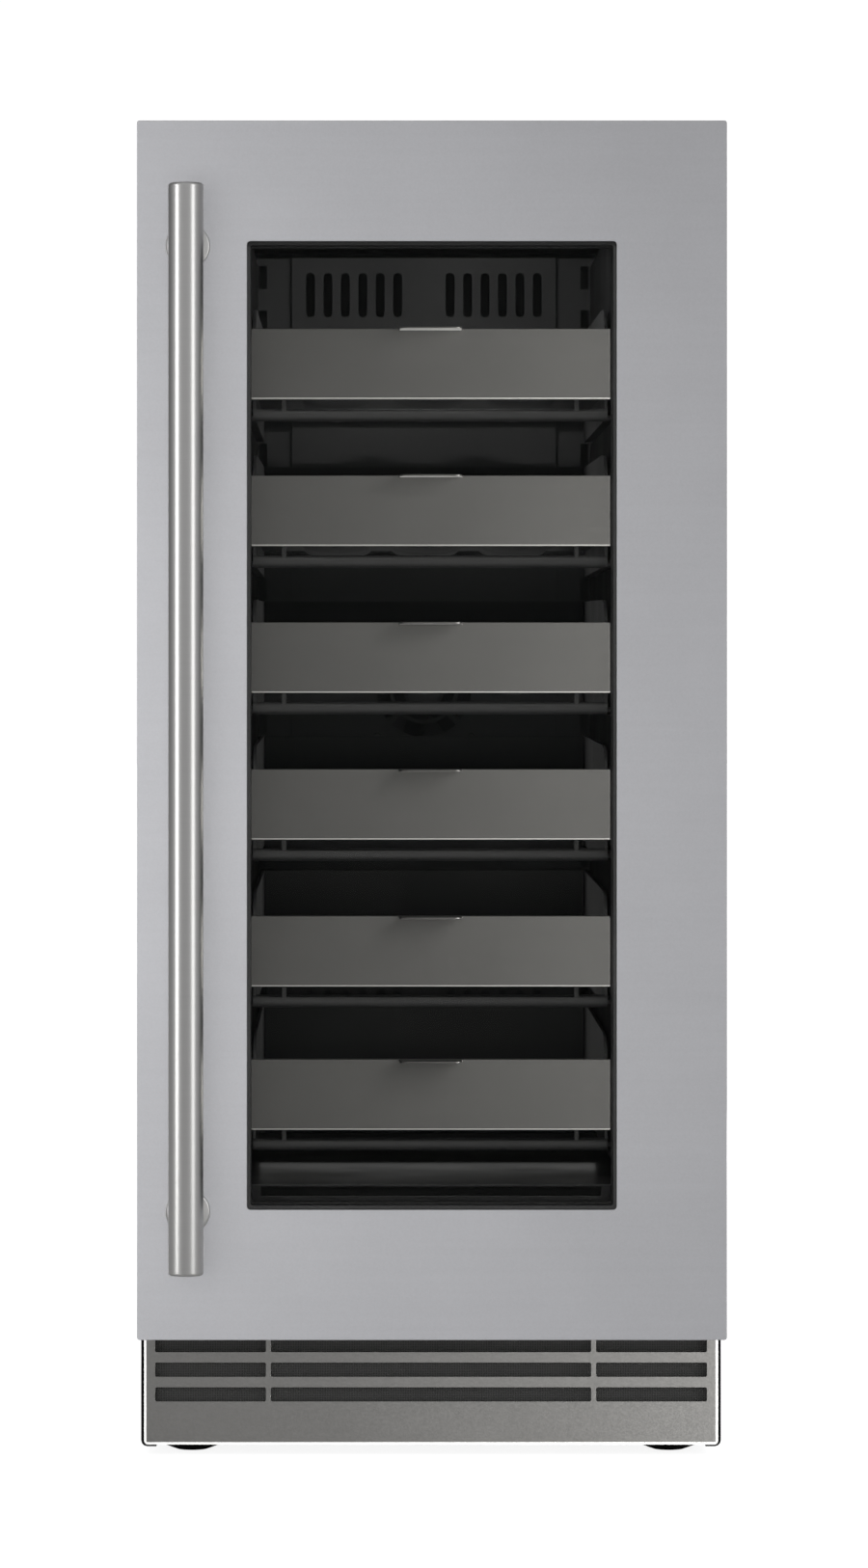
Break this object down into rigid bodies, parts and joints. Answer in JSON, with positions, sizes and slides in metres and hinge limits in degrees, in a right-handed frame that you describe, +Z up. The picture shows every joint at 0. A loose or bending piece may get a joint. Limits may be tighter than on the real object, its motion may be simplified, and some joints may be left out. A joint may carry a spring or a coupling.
{
  "type": "wine cooler",
  "caption": "Slim undercounter wine cooler with a right-hinged glass door, long tube handle, pull-out bottle racks, vented toe grille and a machine compartment below.",
  "frame": {"origin": "on the floor, at the centre of the footprint including the handle", "axes": "+Z up, front and handle towards -Y, +X to the viewer's right when facing the door"},
  "size_m": [0.381, 0.655, 0.868],
  "materials": {
    "stainless": "satin brushed",
    "dark_steel": "dark satin",
    "black_paint": "satin black",
    "black_plastic": "matte",
    "black_liner": "semi-gloss",
    "rubber": "matte",
    "glass": "clear",
    "galvanised": "galvanised",
    "aluminium": "mill",
    "copper": "copper tone",
    "foam": "rigid foam",
    "door_foam": "sealed rigid foam",
    "filter": "open mesh",
    "lens": "frosted"
  },
  "bodies": {
    "cabinet": {"cabinet_shell": "black_paint", "foam_insulation": "foam", "interior_liner": "black_liner", "rear_panel": "galvanised", "machine_deck": "galvanised", "base_pan": "galvanised", "toe_grille": "stainless", "air_filter": "filter", "rack_rail_left": "black_liner", "rack_rail_right": "black_liner", "air_duct_cover": "black_plastic", "fan_guard": "black_plastic", "evaporator_fan_frame": "black_plastic", "evaporator": "aluminium", "interior_light": "lens", "control_housing": "black_plastic", "control_display": "lens", "hinge_upper": "galvanised", "hinge_lower": "galvanised", "compressor": "black_paint", "relay_box": "black_plastic", "condenser": "black_paint", "condenser_fan_frame": "black_plastic", "drain_pan": "black_plastic", "power_board_box": "black_plastic", "filter_drier": "copper", "discharge_line": "copper", "liquid_line": "copper", "suction_line": "copper", "lower_rear_cover": "galvanised", "power_inlet": "black_plastic"},
    "door": {"door_skin": "stainless", "door_core": "door_foam", "door_liner": "black_plastic", "glass_outer": "glass", "glass_spacer": "black_plastic", "glass_inner": "glass", "door_gasket": "rubber", "handle_tube": "stainless", "handle_standoff_upper": "stainless", "handle_standoff_lower": "stainless"},
    "rack_1": {"rack_1_front": "dark_steel", "rack_1_tray": "black_paint"},
    "rack_2": {"rack_2_front": "dark_steel", "rack_2_tray": "black_paint"},
    "rack_3": {"rack_3_front": "dark_steel", "rack_3_tray": "black_paint"},
    "rack_4": {"rack_4_front": "dark_steel", "rack_4_tray": "black_paint"},
    "rack_5": {"rack_5_front": "dark_steel", "rack_5_tray": "black_paint"},
    "rack_6": {"rack_6_front": "dark_steel", "rack_6_tray": "black_paint"},
    "evaporator_fan": {"evaporator_fan_rotor": "black_plastic"},
    "condenser_fan": {"condenser_fan_rotor": "black_plastic"},
    "foot_front_left": {"foot_front_left": "rubber"},
    "foot_front_right": {"foot_front_right": "rubber"},
    "foot_rear_left": {"foot_rear_left": "rubber"},
    "foot_rear_right": {"foot_rear_right": "rubber"}
  },
  "joints": [
    {"name": "door_hinge", "type": "hinge", "parent": "cabinet", "child": "door", "pos_m": [0.178, -0.24825, 0.4742], "axis": [0, 0, 1], "range_deg": [0, 110]},
    {"name": "rack_1_slide", "type": "slide", "parent": "cabinet", "child": "rack_1", "axis": [0, -1, 0], "range_m": [0, 0.1826]},
    {"name": "rack_2_slide", "type": "slide", "parent": "cabinet", "child": "rack_2", "axis": [0, -1, 0], "range_m": [0, 0.1826]},
    {"name": "rack_3_slide", "type": "slide", "parent": "cabinet", "child": "rack_3", "axis": [0, -1, 0], "range_m": [0, 0.1826]},
    {"name": "rack_4_slide", "type": "slide", "parent": "cabinet", "child": "rack_4", "axis": [0, -1, 0], "range_m": [0, 0.1826]},
    {"name": "rack_5_slide", "type": "slide", "parent": "cabinet", "child": "rack_5", "axis": [0, -1, 0], "range_m": [0, 0.1826]},
    {"name": "rack_6_slide", "type": "slide", "parent": "cabinet", "child": "rack_6", "axis": [0, -1, 0], "range_m": [0, 0.1826]},
    {"name": "evaporator_fan_spin", "type": "hinge", "parent": "cabinet", "child": "evaporator_fan", "pos_m": [0, 0.22375, 0.501], "axis": [0, 1, 0], "continuous": true},
    {"name": "condenser_fan_spin", "type": "hinge", "parent": "cabinet", "child": "condenser_fan", "pos_m": [-0.101, -0.10225, 0.07], "axis": [0, 1, 0], "continuous": true},
    {"name": "foot_front_left_turn", "type": "hinge", "parent": "cabinet", "child": "foot_front_left", "pos_m": [-0.157, -0.18025, 0.005], "axis": [0, 0, 1], "continuous": true},
    {"name": "foot_front_right_turn", "type": "hinge", "parent": "cabinet", "child": "foot_front_right", "pos_m": [0.157, -0.18025, 0.005], "axis": [0, 0, 1], "continuous": true},
    {"name": "foot_rear_left_turn", "type": "hinge", "parent": "cabinet", "child": "foot_rear_left", "pos_m": [-0.157, 0.28775, 0.005], "axis": [0, 0, 1], "continuous": true},
    {"name": "foot_rear_right_turn", "type": "hinge", "parent": "cabinet", "child": "foot_rear_right", "pos_m": [0.157, 0.28775, 0.005], "axis": [0, 0, 1], "continuous": true}
  ],
  "couplings": [
    {"joint": "rack_1_slide", "follows": "door_hinge", "m_per_rad": 0.095},
    {"joint": "rack_2_slide", "follows": "door_hinge", "m_per_rad": 0.095},
    {"joint": "rack_3_slide", "follows": "door_hinge", "m_per_rad": 0.095},
    {"joint": "rack_4_slide", "follows": "door_hinge", "m_per_rad": 0.095},
    {"joint": "rack_5_slide", "follows": "door_hinge", "m_per_rad": 0.095},
    {"joint": "rack_6_slide", "follows": "door_hinge", "m_per_rad": 0.095}
  ]
}
